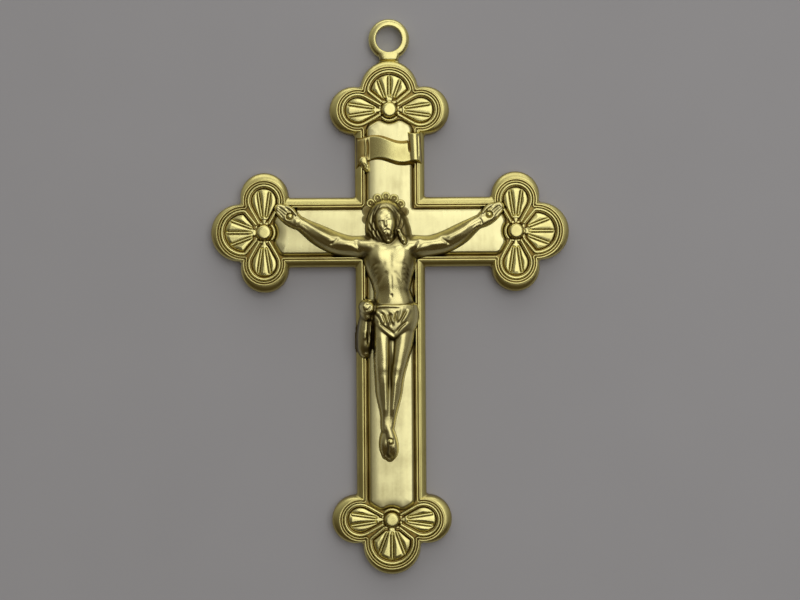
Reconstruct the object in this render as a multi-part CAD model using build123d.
from build123d import *
from math import asin, cos, radians, sin, tan
import os

# A hanging brass crucifix. It is drawn lying on its back and stood up when it is written.
# Plan: x to the viewer's right, y up the cross, z out of its face, from the crossing of the arms.
# All sizes are in millimetres.

# Cross
ARM_WIDTH = 8.12
SIDE_REACH = 14.67
TOP_REACH = 14.2
FOOT_REACH = 33.55
CROSSING_ROUND = 0.25

# Trefoil ends: lobes outside the petals, wider at their far sides than beside the arm
END_RIM = 0.42
END_LOBE_LEAD = 0.47
SIDE_RIM = 0.57
SIDE_LOBE_LEAD = 0.51
NOOK_ROUND = 0.35

# Depths of the body, from its back
BACK_THICK = 0.5
HOLLOW_DEPTH = 0.4
FLOOR_THICK = 0.35
PANEL_THICK = 0.65
RIM_DROP = 0.1

# Front shell
WALL = 0.55
LEDGE = 0.3
RIM_WIDTH = 0.95
RIM_ROUND = 0.4
GROOVE_WIDTH = 0.12
GROOVE_DEPTH = 0.2
BEAD_WIDTH = 0.13

# Field panel
PANEL_GAP = 0.06
PANEL_ROUND = 0.42
PANEL_CORNER = 0.5

# Rosettes: an end petal and two side petals around a hub
TOP_FAN_SHIFT = 1.98
SIDE_FAN_SHIFT = 2.41
FOOT_FAN_SHIFT = 2.58
FAN_RADIUS = 2.5
FAN_APEX = 0.2
FAN_SPREAD = 51
FAN_CORNER = 0.4
FAN_RIB_TURN = 18
FAN_RIB_START = 1.9
FAN_RIB_STOP = 3.75
PETAL_RADIUS = 1.79
PETAL_SPREAD = 3.68
PETAL_ROOT_RADIUS = 0.4
PETAL_ROOT_SPREAD = 0.85
PETAL_RIB_TURN = 9
PETAL_RIB_START = 1.6
PETAL_RIB_STOP = 4.5
PETAL_MARGIN = 0.44
WIRE_WIDTH = 0.25
RIB_WIDTH = 0.2
RIB_DROP = 0.1
HUB_RADIUS = 1.3
ROSETTE_SHEET = 0.25
ROSETTE_DROP = 0.06

# Rosette rivets
BOSS_RADIUS = 0.87
BOSS_RISE = 0.55
RIVET_RADIUS = 0.4
TAIL_RADIUS = 0.65
TAIL_DEPTH = 0.25

# Hanging eye
EYE_RADIUS = 2.385
EYE_HOLE_RADIUS = 1.52
EYE_THICK = 1.2
EYE_ROUND = 0.38
EYE_HOLE_ROUND = 0.3
NECK_LENGTH = 0.18
NECK_WIDTH = 2.2
NECK_ROUND = 0.3
TANG_WIDTH = 1.9

# Nimbus
NIMBUS_X = -0.53
NIMBUS_Y = 1.87
NIMBUS_RADIUS = 2.2
NIMBUS_THICK = 0.3
SCALLOP_COUNT = 14
SCALLOP_RADIUS = 0.45

# Title scroll
SCROLL_X = -0.06
SCROLL_ROOM = 4.73
SCROLL_WIDTH = 6.0
SCROLL_HEIGHT = 2.7
SCROLL_WAVE = 0.35
SCROLL_THICK = 0.55
SCROLL_CURL_WIDTH = 1.25
SCROLL_CURL_DROP = 2.0
SCROLL_CURL_THICK = 0.35
SCROLL_CURL_ROUND = 0.42

# Pegs on the backs of the figure and the scroll
PEG_RADIUS = 0.4
SCROLL_PEG_SPACING = 3.2

# Nails
NAIL_RADIUS = 0.18
NAIL_HEAD_RADIUS = 0.36
NAIL_HEAD_RISE = 0.3
PALM_SEAT = 0.7
FOOT_SEAT = 1.25
LEFT_PALM_SHARE = 0.848
LEFT_PALM_RISE = 1.81
RIGHT_PALM_SHARE = 0.84
RIGHT_PALM_RISE = 1.89
FOOT_NAIL = (-0.1, -24.3)

# Free room around everything that passes through or sits in another piece
FIT = 0.02

# Largest share of a wall that a rounding may take
ROUND_SHARE = 0.45

# Figure: room between its fingertips and the bosses of the side rosettes, and its shoulders from the middle
FINGER_ROOM = 1.42
SHOULDER_OUT = 2.4

# Figure: each run lists x, y, half width and height above its seat, from one end to the other
TORSO = [(-0.1, -0.7, 1.6, 1.2), (-0.05, -2.2, 3.0, 1.95), (0.0, -3.7, 2.8, 2.3), (0.1, -5.3, 2.3, 2.2),
         (0.2, -7.0, 2.12, 2.0), (0.35, -8.6, 2.35, 2.05), (0.4, -10.2, 2.6, 2.0)]
HAIR = [(-0.5, 3.5, 0.5, 0.7), (-0.5, 2.9, 1.55, 1.7), (-0.48, 1.6, 2.15, 2.2), (-0.45, 0.2, 2.1, 2.2),
        (-0.42, -0.9, 1.6, 2.1), (-0.4, -1.6, 0.7, 1.6)]
SIDE_LOCK = [(0.9, 1.4, 0.7, 1.6), (1.35, 0.0, 0.75, 1.9), (1.7, -1.1, 0.6, 2.2), (1.7, -1.8, 0.25, 2.0)]
FACE = [(-0.35, 2.6, 0.5, 2.0), (-0.38, 1.6, 1.05, 2.75), (-0.4, 0.2, 1.0, 2.8), (-0.4, -0.9, 0.75, 2.7),
        (-0.4, -1.45, 0.35, 2.3)]
LEFT_LEG = [(-0.8, -9.2, 1.3, 1.8), (-0.92, -12.4, 1.05, 1.95), (-0.95, -15.0, 0.95, 2.0),
            (-1.0, -16.8, 0.92, 1.95), (-0.9, -18.8, 0.95, 1.6), (-0.72, -21.0, 0.65, 1.3),
            (-0.66, -22.8, 0.55, 1.15)]
LEFT_FOOT = [(-0.66, -22.0, 0.45, 1.25), (-0.2, -23.8, 0.62, 1.65), (0.15, -25.2, 0.6, 1.35),
             (0.2, -26.2, 0.28, 0.5)]
RIGHT_LEG = [(1.3, -9.2, 1.5, 1.8), (1.3, -12.4, 1.25, 1.95), (1.05, -14.8, 0.98, 2.05),
             (0.72, -16.8, 0.85, 1.95), (0.7, -18.8, 0.75, 1.6), (0.38, -21.0, 0.55, 1.35),
             (0.12, -22.6, 0.48, 1.4)]
RIGHT_FOOT = [(0.2, -21.8, 0.42, 1.1), (-0.45, -23.8, 0.65, 1.2), (-0.78, -25.0, 0.62, 1.0),
              (-0.7, -26.1, 0.28, 0.4)]
LOINCLOTH = [(0.35, -8.2, 2.4, 2.1), (0.4, -9.2, 2.75, 2.4), (0.4, -10.3, 2.75, 2.4),
             (0.45, -11.3, 1.7, 2.3), (0.47, -12.4, 0.3, 2.0)]
CLOTH_KNOT = [(-2.55, -7.9, 0.3, 1.4), (-2.62, -8.45, 0.75, 1.95), (-2.7, -9.2, 0.72, 1.9),
              (-2.75, -9.9, 0.4, 1.5)]
CLOTH_TAIL = [(-2.75, -9.5, 0.4, 1.4), (-2.9, -11.4, 0.7, 1.35), (-2.95, -13.2, 0.78, 1.2),
              (-2.92, -14.2, 0.68, 1.0), (-2.9, -14.65, 0.3, 0.5)]

# Figure: the runs of its arms and hands list the share of the way from shoulder to fingertips instead of x
LEFT_ARM = [(0, -1.8, 1.2, 1.8), (0.194, -1.7, 1.05, 1.55), (0.369, -1.25, 1.12, 1.5),
            (0.535, -0.4, 1.1, 1.45), (0.654, 0.4, 0.9, 1.25), (0.774, 1.28, 0.7, 1.05)]
LEFT_HAND = [(0.719, 0.9, 0.6, 0.95), (0.811, 1.55, 0.92, 1.02), (0.912, 2.25, 0.9, 0.85),
             (1, 2.85, 0.3, 0.35)]
RIGHT_ARM = [(0, -1.8, 1.2, 1.8), (0.194, -1.7, 1.05, 1.55), (0.369, -1.2, 1.1, 1.5),
             (0.525, -0.35, 1.08, 1.45), (0.641, 0.5, 0.85, 1.2), (0.756, 1.36, 0.62, 1.0)]
RIGHT_HAND = [(0.7, 0.95, 0.5, 0.9), (0.802, 1.7, 1.05, 1.02), (0.912, 2.35, 1.0, 0.85),
              (1.014, 2.95, 0.35, 0.35)]

# Levels, from the back
tang_mid = BACK_THICK + HOLLOW_DEPTH / 2
floor_under = BACK_THICK + HOLLOW_DEPTH
floor_top = floor_under + FLOOR_THICK
panel_top = floor_top + PANEL_THICK
rim_top = panel_top - RIM_DROP
petal_top = floor_top + ROSETTE_SHEET
wire_top = panel_top - ROSETTE_DROP
rib_top = wire_top - RIB_DROP

# Lobes of the cross's plan, and of the field inside its rim
fan_field = FAN_RADIUS + PETAL_MARGIN
petal_field = PETAL_RADIUS + PETAL_MARGIN
hub_field = HUB_RADIUS + PETAL_MARGIN
end_lobe = fan_field + END_RIM
side_lobe = petal_field + SIDE_RIM

# Middle of the scroll, foot of the eye's neck and centre of the eye, up the plan
scroll_rise = TOP_REACH - SCROLL_ROOM
neck_foot = TOP_REACH + TOP_FAN_SHIFT + END_LOBE_LEAD
eye_rise = neck_foot + end_lobe + NECK_LENGTH + EYE_RADIUS

# Roundings, each within what its wall allows
eye_wall = min(EYE_RADIUS - EYE_HOLE_RADIUS, EYE_THICK)
eye_round = min(EYE_ROUND, ROUND_SHARE * eye_wall)
eye_hole_round = min(EYE_HOLE_ROUND, ROUND_SHARE * eye_wall)
neck_round = min(NECK_ROUND, ROUND_SHARE * min(NECK_WIDTH, EYE_THICK))
panel_round = min(PANEL_ROUND, 2 * ROUND_SHARE * min(PANEL_CORNER, PANEL_THICK))
curl_round = min(SCROLL_CURL_ROUND, ROUND_SHARE * min(SCROLL_CURL_WIDTH, SCROLL_HEIGHT))

# Each end of the cross: its turn in the plan, the reach of its boss and the shift of its end petal
ENDS = {
    "right": (0, SIDE_REACH, SIDE_FAN_SHIFT),
    "top": (90, TOP_REACH, TOP_FAN_SHIFT),
    "left": (180, SIDE_REACH, SIDE_FAN_SHIFT),
    "bottom": (270, FOOT_REACH, FOOT_FAN_SHIFT),
}


def arm_x(side, share):
    """Place across the plan of a share of an arm of the figure, from shoulder to fingertips."""
    return side * (SHOULDER_OUT + share * (SIDE_REACH - FINGER_ROOM - SHOULDER_OUT))


def arm_run(side, run):
    """A run of an arm or hand of the figure, with its places across the plan."""
    return [(arm_x(side, share), *rest) for share, *rest in run]


def nail_places():
    """Places of the nails: the left palm, the right palm and the feet."""
    left = (arm_x(-1, LEFT_PALM_SHARE), LEFT_PALM_RISE)
    right = (arm_x(1, RIGHT_PALM_SHARE), RIGHT_PALM_RISE)
    return [left, right, FOOT_NAIL]


def end_place(end):
    """Place of an end's boss, with its x axis pointing out along the arm."""
    turn, reach, shift = ENDS[end]
    return Rot(0, 0, turn) * Pos(reach, 0, 0)


def slab(outline, bottom, top):
    """A plan outline made solid between two levels."""
    return extrude(Pos(0, 0, bottom) * outline, amount=top - bottom)


def column(x, y, radius, bottom, top):
    """A round column at a place in the plan, between two levels."""
    return slab(Pos(x, y) * Circle(radius), bottom, top)


def arms(half_width):
    """Plan of the plain arms, from boss to boss."""
    plan = Pos(0, (TOP_REACH - FOOT_REACH) / 2) * Rectangle(2 * half_width, TOP_REACH + FOOT_REACH)
    return plan + Rectangle(2 * SIDE_REACH, 2 * half_width)


def inside_corners(plan, near):
    """Corners of a plan that lie near the crossing, or away from it."""
    limit = ARM_WIDTH
    return [v for v in plan.vertices() if (abs(v.X) < limit and abs(v.Y) < limit) == near]


def lobes(end, end_centre, end_radius, side_centre, side_radius):
    """Plan of the round lobes at one end of the cross, and of the hub between them."""
    plan = Circle(hub_field) + Pos(end_centre, 0) * Circle(end_radius)
    for side in (-1, 1):
        plan += Pos(0, side * side_centre) * Circle(side_radius)
    return end_place(end) * plan


def cross_plan():
    """Outer plan of the cross: the arms with a trefoil at each end, its nooks rounded."""
    plan = arms(ARM_WIDTH / 2)
    for end, (turn, reach, shift) in ENDS.items():
        plan += lobes(end, shift + END_LOBE_LEAD, end_lobe, PETAL_SPREAD + SIDE_LOBE_LEAD, side_lobe)
    plan = fillet(inside_corners(plan, True), CROSSING_ROUND)
    return fillet(inside_corners(plan, False), NOOK_ROUND)


def field_plan():
    """Plan inside the domed rim: it follows the arms' edges and the petals of the rosettes."""
    plan = arms(ARM_WIDTH / 2 - RIM_WIDTH)
    for end, (turn, reach, shift) in ENDS.items():
        plan += lobes(end, shift, fan_field, PETAL_SPREAD, petal_field)
    return plan


def side_petal(side, grow):
    """Plan of a side petal, grown past the middle of its wire."""
    round_end = Pos(0, side * PETAL_SPREAD) * Circle(PETAL_RADIUS + grow)
    root = Pos(0, side * PETAL_ROOT_SPREAD) * Circle(PETAL_ROOT_RADIUS + grow)
    return make_hull(round_end.edges() + root.edges())


def fan_petal(shift, grow):
    """Plan of an end petal, a round end on two straight sides, grown past the middle of its wire."""
    far = FAN_APEX + shift + FAN_RADIUS
    half = (far - FAN_APEX) * tan(radians(FAN_SPREAD))
    wedge = make_face(Polyline((FAN_APEX, 0), (far, half), (far, -half), close=True))
    fan = wedge & Pos(shift, 0) * Circle(FAN_RADIUS)
    fan = fillet(fan.vertices().sort_by(Axis.X)[1:], FAN_CORNER)
    return offset(fan, grow, kind=Kind.INTERSECTION)


def rosette_plan(shift):
    """Plan of a whole rosette: its end petal, two side petals and hub."""
    half_wire = WIRE_WIDTH / 2
    plan = Circle(HUB_RADIUS) + fan_petal(shift, half_wire)
    for side in (-1, 1):
        plan += side_petal(side, half_wire)
    return plan


def rib(turn, start, stop):
    """Plan of one raised rib, along a ray from the boss."""
    return Rot(0, 0, turn) * Pos((start + stop) / 2, 0) * SlotOverall(stop - start, RIB_WIDTH)


def make_rosette(end):
    """A pressed rosette: a thin sheet with wires round its petals, ribs across them and a hub."""
    turn, reach, shift = ENDS[end]
    half_wire = WIRE_WIDTH / 2
    piece = slab(rosette_plan(shift), floor_top, petal_top)
    wires = fan_petal(shift, half_wire) - fan_petal(shift, -half_wire)
    ribs = Sketch()
    for step in (-1, 0, 1):
        ribs += rib(step * FAN_RIB_TURN, FAN_RIB_START, FAN_RIB_STOP)
    for side in (-1, 1):
        wires += side_petal(side, half_wire) - side_petal(side, -half_wire)
        for step in (-1, 1):
            ribs += rib(side * 90 + step * PETAL_RIB_TURN, PETAL_RIB_START, PETAL_RIB_STOP)
    piece += slab(wires - Circle(HUB_RADIUS), petal_top, wire_top)
    piece += slab(ribs, petal_top, rib_top)
    piece += slab(Circle(HUB_RADIUS), petal_top, wire_top)
    piece -= column(0, 0, RIVET_RADIUS + FIT, floor_top, wire_top)
    return end_place(end) * piece


def pin(seat, head_radius, head_rise, shank_radius, tail_radius, tail_depth):
    """A pin with a domed head on its seat, and a tail flush with the back."""
    dome = (head_radius**2 + head_rise**2) / (2 * head_rise)
    half_turn = asin(min(1, head_radius / dome)) / 2
    crown = (0, seat + head_rise)
    shoulder = (dome * sin(half_turn), seat + head_rise - dome * (1 - cos(half_turn)))
    profile = Polyline(crown, (0, 0), (tail_radius, 0), (shank_radius, tail_depth),
                       (shank_radius, seat), (head_radius, seat))
    profile += ThreePointArc((head_radius, seat), shoulder, crown)
    return revolve(make_face(Plane.XZ * profile), Axis.Z)


def make_rivet(end):
    """A rosette's rivet, whose domed head is the boss."""
    return end_place(end) * pin(wire_top, BOSS_RADIUS, BOSS_RISE, RIVET_RADIUS, TAIL_RADIUS, TAIL_DEPTH)


def make_nail(place, seat):
    """A nail through the figure, the panel and the body."""
    nail = pin(panel_top + seat, NAIL_HEAD_RADIUS, NAIL_HEAD_RISE, NAIL_RADIUS, NAIL_RADIUS, TAIL_DEPTH)
    return Pos(*place, 0) * nail


def through_holes(bottom, top):
    """Holes for the rivets and nails through a layer of the body."""
    holes = []
    for end in ENDS:
        place = end_place(end).position
        holes.append(column(place.X, place.Y, RIVET_RADIUS + FIT, bottom, top))
    for place in nail_places():
        holes.append(column(*place, NAIL_RADIUS + FIT, bottom, top))
    return holes


def peg_holes(bottom, top):
    """Holes for the pegs of the figure and the scroll through a layer of the body."""
    return [column(x, y, PEG_RADIUS + FIT, bottom, top) for x, y in peg_places()]


def scroll_peg_places():
    """Places of the scroll's two pegs."""
    return [(SCROLL_X + side * SCROLL_PEG_SPACING / 2, scroll_rise) for side in (-1, 1)]


def peg_places():
    """Places of all pegs: the figure's behind its head, and the scroll's."""
    return [(NIMBUS_X, NIMBUS_Y)] + scroll_peg_places()


def tang_plan(grow):
    """Plan of the eye's tang, from the eye down to the top rivet."""
    half = TANG_WIDTH / 2 + grow
    plan = Pos(0, (TOP_REACH + eye_rise) / 2) * Rectangle(2 * half, eye_rise - TOP_REACH)
    return plan + Pos(0, TOP_REACH) * Circle(half)


def make_front_shell(plan, field):
    """The front of the body: a domed rim, a groove and a bead round a sunk floor, hollow behind."""
    piece = slab(plan, 0, rim_top)
    crest = piece.faces().sort_by(Axis.Z)[-1]
    piece = fillet(crest.edges(), RIM_ROUND)
    inner = offset(field, -GROOVE_WIDTH)
    piece -= slab(field - inner, rim_top - GROOVE_DEPTH, rim_top)
    piece -= slab(offset(field, -GROOVE_WIDTH - BEAD_WIDTH), floor_top, rim_top)
    piece -= slab(offset(plan, -WALL), 0, BACK_THICK)
    piece -= slab(offset(plan, -WALL - LEDGE), BACK_THICK, floor_under)
    piece -= slab(tang_plan(FIT), BACK_THICK, floor_under)
    return piece - through_holes(floor_under, floor_top) - peg_holes(floor_under, floor_top)


def make_back_plate(plan):
    """The flat back, on the ledge inside the front shell."""
    piece = slab(offset(plan, -WALL - FIT), 0, BACK_THICK) - through_holes(0, BACK_THICK)
    sink = Cone(TAIL_RADIUS + FIT, RIVET_RADIUS + FIT, TAIL_DEPTH)
    for end in ENDS:
        piece -= end_place(end) * Pos(0, 0, TAIL_DEPTH / 2) * sink
    return piece


def rosette_clearance():
    """Plan cut out of the panel's end: the hub and the straight sides of the side petals, carried on."""
    grow = WIRE_WIDTH / 2 + PANEL_GAP
    widening = (PETAL_RADIUS - PETAL_ROOT_RADIUS) / (PETAL_SPREAD - PETAL_ROOT_SPREAD)
    far = PETAL_SPREAD + ARM_WIDTH / 2
    far_radius = PETAL_ROOT_RADIUS + widening * (far - PETAL_ROOT_SPREAD)
    plan = Circle(HUB_RADIUS + PANEL_GAP)
    for side in (-1, 1):
        root = Pos(0, side * PETAL_ROOT_SPREAD) * Circle(PETAL_ROOT_RADIUS + grow)
        far_end = Pos(0, side * far) * Circle(far_radius + grow)
        plan += make_hull(root.edges() + far_end.edges())
    return plan


def make_field_panel():
    """The raised field panel, cut back round the rosettes, with a pillowed edge."""
    plan = arms(ARM_WIDTH / 2 - RIM_WIDTH - GROOVE_WIDTH - BEAD_WIDTH - PANEL_GAP)
    for end in ENDS:
        plan -= end_place(end) * rosette_clearance()
    plan = fillet(inside_corners(plan, False), PANEL_CORNER)
    piece = slab(plan, floor_top, panel_top)
    piece = fillet(piece.faces().sort_by(Axis.Z)[-1].edges(), panel_round)
    return piece - through_holes(floor_top, panel_top) - peg_holes(floor_top, panel_top)


def make_hanging_eye(plan):
    """The hanging eye: a rounded ring, a short neck on the top lobe and a tang inside the body."""
    bottom = tang_mid - EYE_THICK / 2
    top = tang_mid + EYE_THICK / 2
    ring = slab(Circle(EYE_RADIUS) - Circle(EYE_HOLE_RADIUS), bottom, top)
    rims = ring.edges().filter_by(GeomType.CIRCLE)
    ring = fillet(rims.filter_by(lambda rim: rim.radius > EYE_HOLE_RADIUS), eye_round)
    rims = ring.edges().filter_by(GeomType.CIRCLE)
    ring = fillet(rims.filter_by(lambda rim: rim.radius < EYE_HOLE_RADIUS + FIT), eye_hole_round)
    neck = Pos(0, (neck_foot + eye_rise) / 2, tang_mid) * Box(NECK_WIDTH, eye_rise - neck_foot, EYE_THICK)
    neck = fillet(neck.edges().filter_by(Axis.Y), neck_round)
    neck -= slab(offset(plan, FIT), bottom, top)
    tang = slab(tang_plan(0), BACK_THICK, floor_under)
    tang -= column(0, TOP_REACH, RIVET_RADIUS + FIT, BACK_THICK, floor_under)
    stem = neck + tang - column(0, eye_rise, EYE_RADIUS - eye_round, bottom, top)
    return Pos(0, eye_rise) * ring + stem


def make_nimbus():
    """The nimbus behind the head: a thin disc with a scalloped edge."""
    plan = Circle(NIMBUS_RADIUS)
    for step in range(SCALLOP_COUNT):
        plan += Rot(0, 0, 360 * step / SCALLOP_COUNT) * Pos(NIMBUS_RADIUS, 0) * Circle(SCALLOP_RADIUS)
    plan -= Circle(PEG_RADIUS + FIT)
    return Pos(NIMBUS_X, NIMBUS_Y) * slab(plan, panel_top, panel_top + NIMBUS_THICK)


def make_title_scroll():
    """The title scroll: a waved band with a curled tail at each end, and two pegs behind."""
    half = SCROLL_WIDTH / 2
    rise = SCROLL_HEIGHT / 2
    wave = [(-half, 0), (-half / 2, SCROLL_WAVE), (half / 2, -SCROLL_WAVE), (half, 0)]
    upper = [(x, y + rise) for x, y in wave]
    lower = [(x, y - rise) for x, y in wave]
    edge = Spline(*upper) + Line(upper[-1], lower[-1]) + Spline(*lower) + Line(lower[0], upper[0])
    piece = slab(make_face(edge), panel_top, panel_top + SCROLL_THICK)
    for side in (-1, 1):
        curl = Pos(side * half, side * SCROLL_CURL_DROP / 2) * RectangleRounded(
            SCROLL_CURL_WIDTH, SCROLL_HEIGHT, curl_round)
        piece += slab(curl, panel_top, panel_top + SCROLL_CURL_THICK)
    piece = Pos(SCROLL_X, scroll_rise) * piece
    for x, y in scroll_peg_places():
        piece += column(x, y, PEG_RADIUS, floor_under, panel_top)
    return piece


def run_body(run):
    """A half-round body lofted along one run of the figure, flat on its seat."""
    sections = []
    for index, (x, y, half_width, height) in enumerate(run):
        before = run[max(index - 1, 0)]
        after = run[min(index + 1, len(run) - 1)]
        along = Vector(after[0] - before[0], after[1] - before[1])
        across = along.rotate(Axis.Z, 90)
        plane = Plane(origin=(x, y, panel_top), x_dir=across, z_dir=along)
        sections.append(plane * Ellipse(half_width, height))
    return split(loft(sections), Plane.XY.offset(panel_top), keep=Keep.TOP)


def make_corpus():
    """The figure, one casting on the panel, with a peg behind its head and seats for three nails."""
    hands = [arm_run(-1, LEFT_ARM), arm_run(-1, LEFT_HAND), arm_run(1, RIGHT_ARM), arm_run(1, RIGHT_HAND)]
    legs = [LEFT_LEG, LEFT_FOOT, RIGHT_LEG, RIGHT_FOOT]
    dress = [LOINCLOTH, CLOTH_TAIL, CLOTH_KNOT, HAIR, SIDE_LOCK, FACE]
    piece = run_body(TORSO) + [run_body(run) for run in hands + legs + dress]
    recess = NIMBUS_RADIUS + SCALLOP_RADIUS + FIT
    piece -= column(NIMBUS_X, NIMBUS_Y, recess, panel_top, panel_top + NIMBUS_THICK)
    piece += column(NIMBUS_X, NIMBUS_Y, PEG_RADIUS, floor_under, panel_top + NIMBUS_THICK)
    top = piece.bounding_box().max.Z
    for place, seat in zip(nail_places(), (PALM_SEAT, PALM_SEAT, FOOT_SEAT)):
        piece -= column(*place, NAIL_RADIUS + FIT, panel_top, panel_top + seat)
        piece -= column(*place, NAIL_HEAD_RADIUS + FIT, panel_top + seat, top)
    return piece


def stand_up(piece):
    """Stand a piece up: the face to the front, with the middle of the eye's hole at the origin."""
    return Plane.XZ.location * Pos(0, -eye_rise, -tang_mid) * piece


def main():
    os.makedirs("parts", exist_ok=True)
    plan = cross_plan()
    field = field_plan()
    left_palm, right_palm, feet = nail_places()
    pieces = {
        "front_shell": make_front_shell(plan, field),
        "back_plate": make_back_plate(plan),
        "field_panel": make_field_panel(),
        "hanging_eye": make_hanging_eye(plan),
        "nimbus": make_nimbus(),
        "title_scroll": make_title_scroll(),
        "corpus": make_corpus(),
        "palm_nail_left": make_nail(left_palm, PALM_SEAT),
        "palm_nail_right": make_nail(right_palm, PALM_SEAT),
        "foot_nail": make_nail(feet, FOOT_SEAT),
    }
    for end in ENDS:
        pieces["rosette_" + end] = make_rosette(end)
        pieces["rosette_rivet_" + end] = make_rivet(end)
    for name, piece in pieces.items():
        export_step(stand_up(piece), f"parts/{name}.step")


main()
